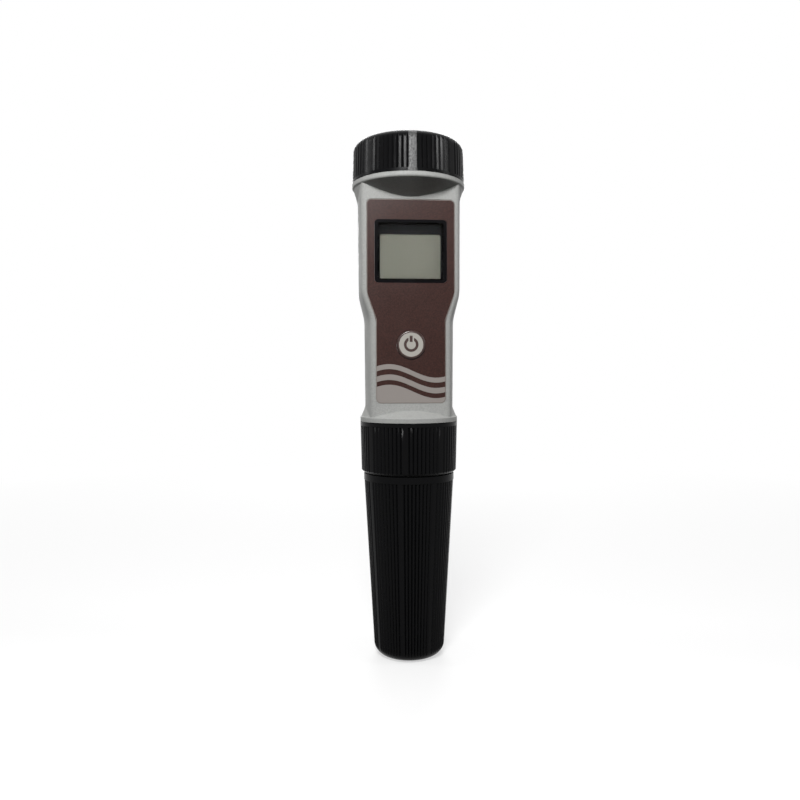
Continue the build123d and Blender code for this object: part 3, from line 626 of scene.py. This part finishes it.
# Plain moulded pieces: the look of each, with what differs from the usual grain
mouldedLooks = {
    "display_bezel": {
        "name": "bezelBlack", "colour": (0.0025, 0.0022, 0.0030), "gloss": (0.2, 0.3),
        "depth": 0.002 * mm, "specular": 0.05,
    },
    "lcd_panel": {
        "name": "lcdPolariser", "colour": (0.178, 0.171, 0.136), "gloss": (0.5, 0.6),
        "depth": 0.002 * mm, "drift": 0.05, "specular": 0.2,
    },
    "lcd_frame": {
        "name": "lcdFrameBlack", "colour": (0.004, 0.004, 0.005), "gloss": (0.35, 0.5),
        "specular": 0.05,
    },
    "circuit_board": {
        "name": "boardGreen", "colour": (0.01, 0.09, 0.03), "gloss": (0.3, 0.45),
        "depth": 0.003 * mm,
    },
    "reference_junction": {
        "name": "junctionCeramic", "colour": (0.78, 0.75, 0.68), "gloss": (0.7, 0.85),
        "depth": 0.03 * mm,
    },
    "board_chips": {"name": "chipBlack", "colour": (0.015, 0.015, 0.016), "gloss": (0.5, 0.65)},
    "board_capacitors": {"name": "capacitorTan", "colour": (0.45, 0.28, 0.08), "gloss": (0.4, 0.5)},
    "switch_plunger": {"name": "plungerBlack", "colour": (0.02, 0.02, 0.02), "gloss": (0.4, 0.5)},
    "sensor_socket": {"name": "socketCream", "colour": (0.62, 0.58, 0.48), "gloss": (0.4, 0.5)},
    "chassis": {"name": "chassisBlack", "colour": (0.03, 0.03, 0.032), "gloss": (0.4, 0.55)},
    "battery_tray": {"name": "trayBlack", "colour": (0.035, 0.035, 0.036), "gloss": (0.4, 0.55)},
    "electrode_body": {"name": "electrodeBlack", "colour": (0.03, 0.03, 0.033), "gloss": (0.35, 0.5)},
    "zebra_strip": {"name": "zebraRubber", "colour": (0.25, 0.22, 0.20), "gloss": (0.6, 0.7)},
}
finishes = {
    "battery_cap": ribbedPlastic("blackCap", blackPlastic, frostAndPaintedHighlight=True),
    "electrode_ring_nut": ribbedPlastic("blackRing", blackPlastic),
    "protective_cap": ribbedPlastic("blackSleeve", blackPlastic),
    "housing": silverShell(shellPaint),
    "front_label": labelFilm(labelPrint),
    "power_button": buttonFinish(buttonPrint),
    # the window's low index keeps its mirror image as faint as in the photograph
    "display_window": clearFinish("clearWindow", tint=(0.95, 0.97, 0.97), rough=0.02, index=1.14),
    "glass_stem": clearFinish("stemGlass", tint=(0.96, 0.98, 0.97), rough=0.0, index=1.49),
    "storage_sponge": spongeFinish(spongeLook),
    "tact_switch": metalFinish("switchCan", colour=(0.62, 0.62, 0.62), gloss=(0.3, 0.4)),
    "button_cells": metalFinish("cellSteel", colour=(0.66, 0.66, 0.65), gloss=(0.22, 0.34)),
    "platinum_pin": metalFinish("platinum", colour=(0.72, 0.70, 0.68), gloss=(0.12, 0.2)),
}
for piece, look in mouldedLooks.items():
    finishes[piece] = mouldedPlastic(**look)

# Finishes that several pieces share
rubber = mouldedPlastic("sealRubber", colour=(0.012, 0.012, 0.012), gloss=(0.5, 0.6))
gilt = metalFinish("contactGilt", colour=(0.83, 0.62, 0.28), gloss=(0.22, 0.32))
screwSteel = metalFinish("screwSteel", colour=(0.6, 0.6, 0.6), gloss=(0.25, 0.35))
sharedFinishes = [
    (rubber, ("neck_o_ring", "electrode_o_ring", "cap_seal_ring")),
    (gilt, ("board_contacts", "socket_leads", "tray_top_contact", "tray_bottom_contact", "electrode_pins")),
    (screwSteel, ("board_screws", "swivel_screw")),
]
for finish, names in sharedFinishes:
    for name in names:
        finishes[name] = finish

for name, node in nodes.items():
    node.data.materials.clear()
    node.data.materials.append(finishes[name])
print("finishes given to", len(nodes), "nodes")


# Screw threads: a raised helix on each neck and in each nut, right-handed, half a lead apart
threadSetup = {
    "step": 12.0,  # degrees between the sections of a helix
    "rootHalf": 0.65 * mm,
    "tipShare": 0.35,
    "near": 0.001 * mm,  # points this near the tip radius belong to the tip
    "pieces": [
        # name, body, carrier, then in mm: root and tip radius, lowest and highest section, lead
        ("neckThread", "housing", "housing", 17.95, 18.60, 179.6, 183.6, 5),
        ("capThread", "battery_cap", "battery_cap", 18.95, 18.30, 182.1, 186.3, 5),
        ("footThread", "housing", "housing", 15.35, 15.85, 77.0, 84.6, 4),
        ("nutThread", "ring_nut", "electrode_ring_nut", 16.05, 15.55, 79.0, 84.9, 4),
    ],
}


def selectTip(piece, tip, near):
    bpy.ops.object.mode_set(mode="OBJECT")
    for part in (*piece.data.edges, *piece.data.polygons):
        part.select = False
    for point in piece.data.vertices:
        point.select = abs(point.co.x - tip) < near
    bpy.ops.object.mode_set(mode="EDIT")


def helixRidge(setup, name, body, carrier, *measures):
    root, tip, low, high, lead = (measure * mm for measure in measures)
    middle = (0, 0, 0)
    bpy.ops.object.select_all(action="DESELECT")
    bpy.ops.mesh.primitive_plane_add(size=1)
    piece = bpy.context.active_object
    piece.name = name
    bpy.ops.object.mode_set(mode="EDIT")
    bpy.ops.mesh.select_mode(type="VERT")
    bpy.ops.mesh.select_all(action="SELECT")
    bpy.ops.transform.rotate(value=math.pi / 2, orient_axis="X", center_override=middle)
    bpy.ops.transform.resize(value=(abs(tip - root), 1, 2 * setup["rootHalf"]), center_override=middle)
    bpy.ops.transform.translate(value=((tip + root) / 2, 0, low))
    selectTip(piece, tip, setup["near"])
    bpy.ops.transform.resize(value=(1, 1, setup["tipShare"]), center_override=(tip, 0, low))
    bpy.ops.mesh.select_all(action="SELECT")
    # The operator turns clockwise seen from above, so a right-handed helix takes negative angles
    first = -2 * math.pi * low / lead
    turn = -math.radians(setup["step"])
    rise = lead * setup["step"] / 360
    bpy.ops.transform.rotate(value=first, orient_axis="Z", center_override=middle)
    for count in range(round((high - low) / rise)):
        bpy.ops.mesh.extrude_region_move(TRANSFORM_OT_translate={"value": (0, 0, rise)})
        bpy.ops.transform.rotate(value=turn, orient_axis="Z", center_override=middle)
    bpy.ops.mesh.select_all(action="SELECT")
    bpy.ops.mesh.normals_make_consistent(inside=False)
    bpy.ops.object.mode_set(mode="OBJECT")
    piece.data.materials.append(finishes[carrier])
    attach(piece, body)
    return piece


for thread in threadSetup["pieces"]:
    made = helixRidge(threadSetup, *thread)
    place = made.data.vertices[-1].co
    ends = [round(part / mm, 2) for part in place]
    print(made.name, len(made.data.polygons), "faces, ends at", ends)
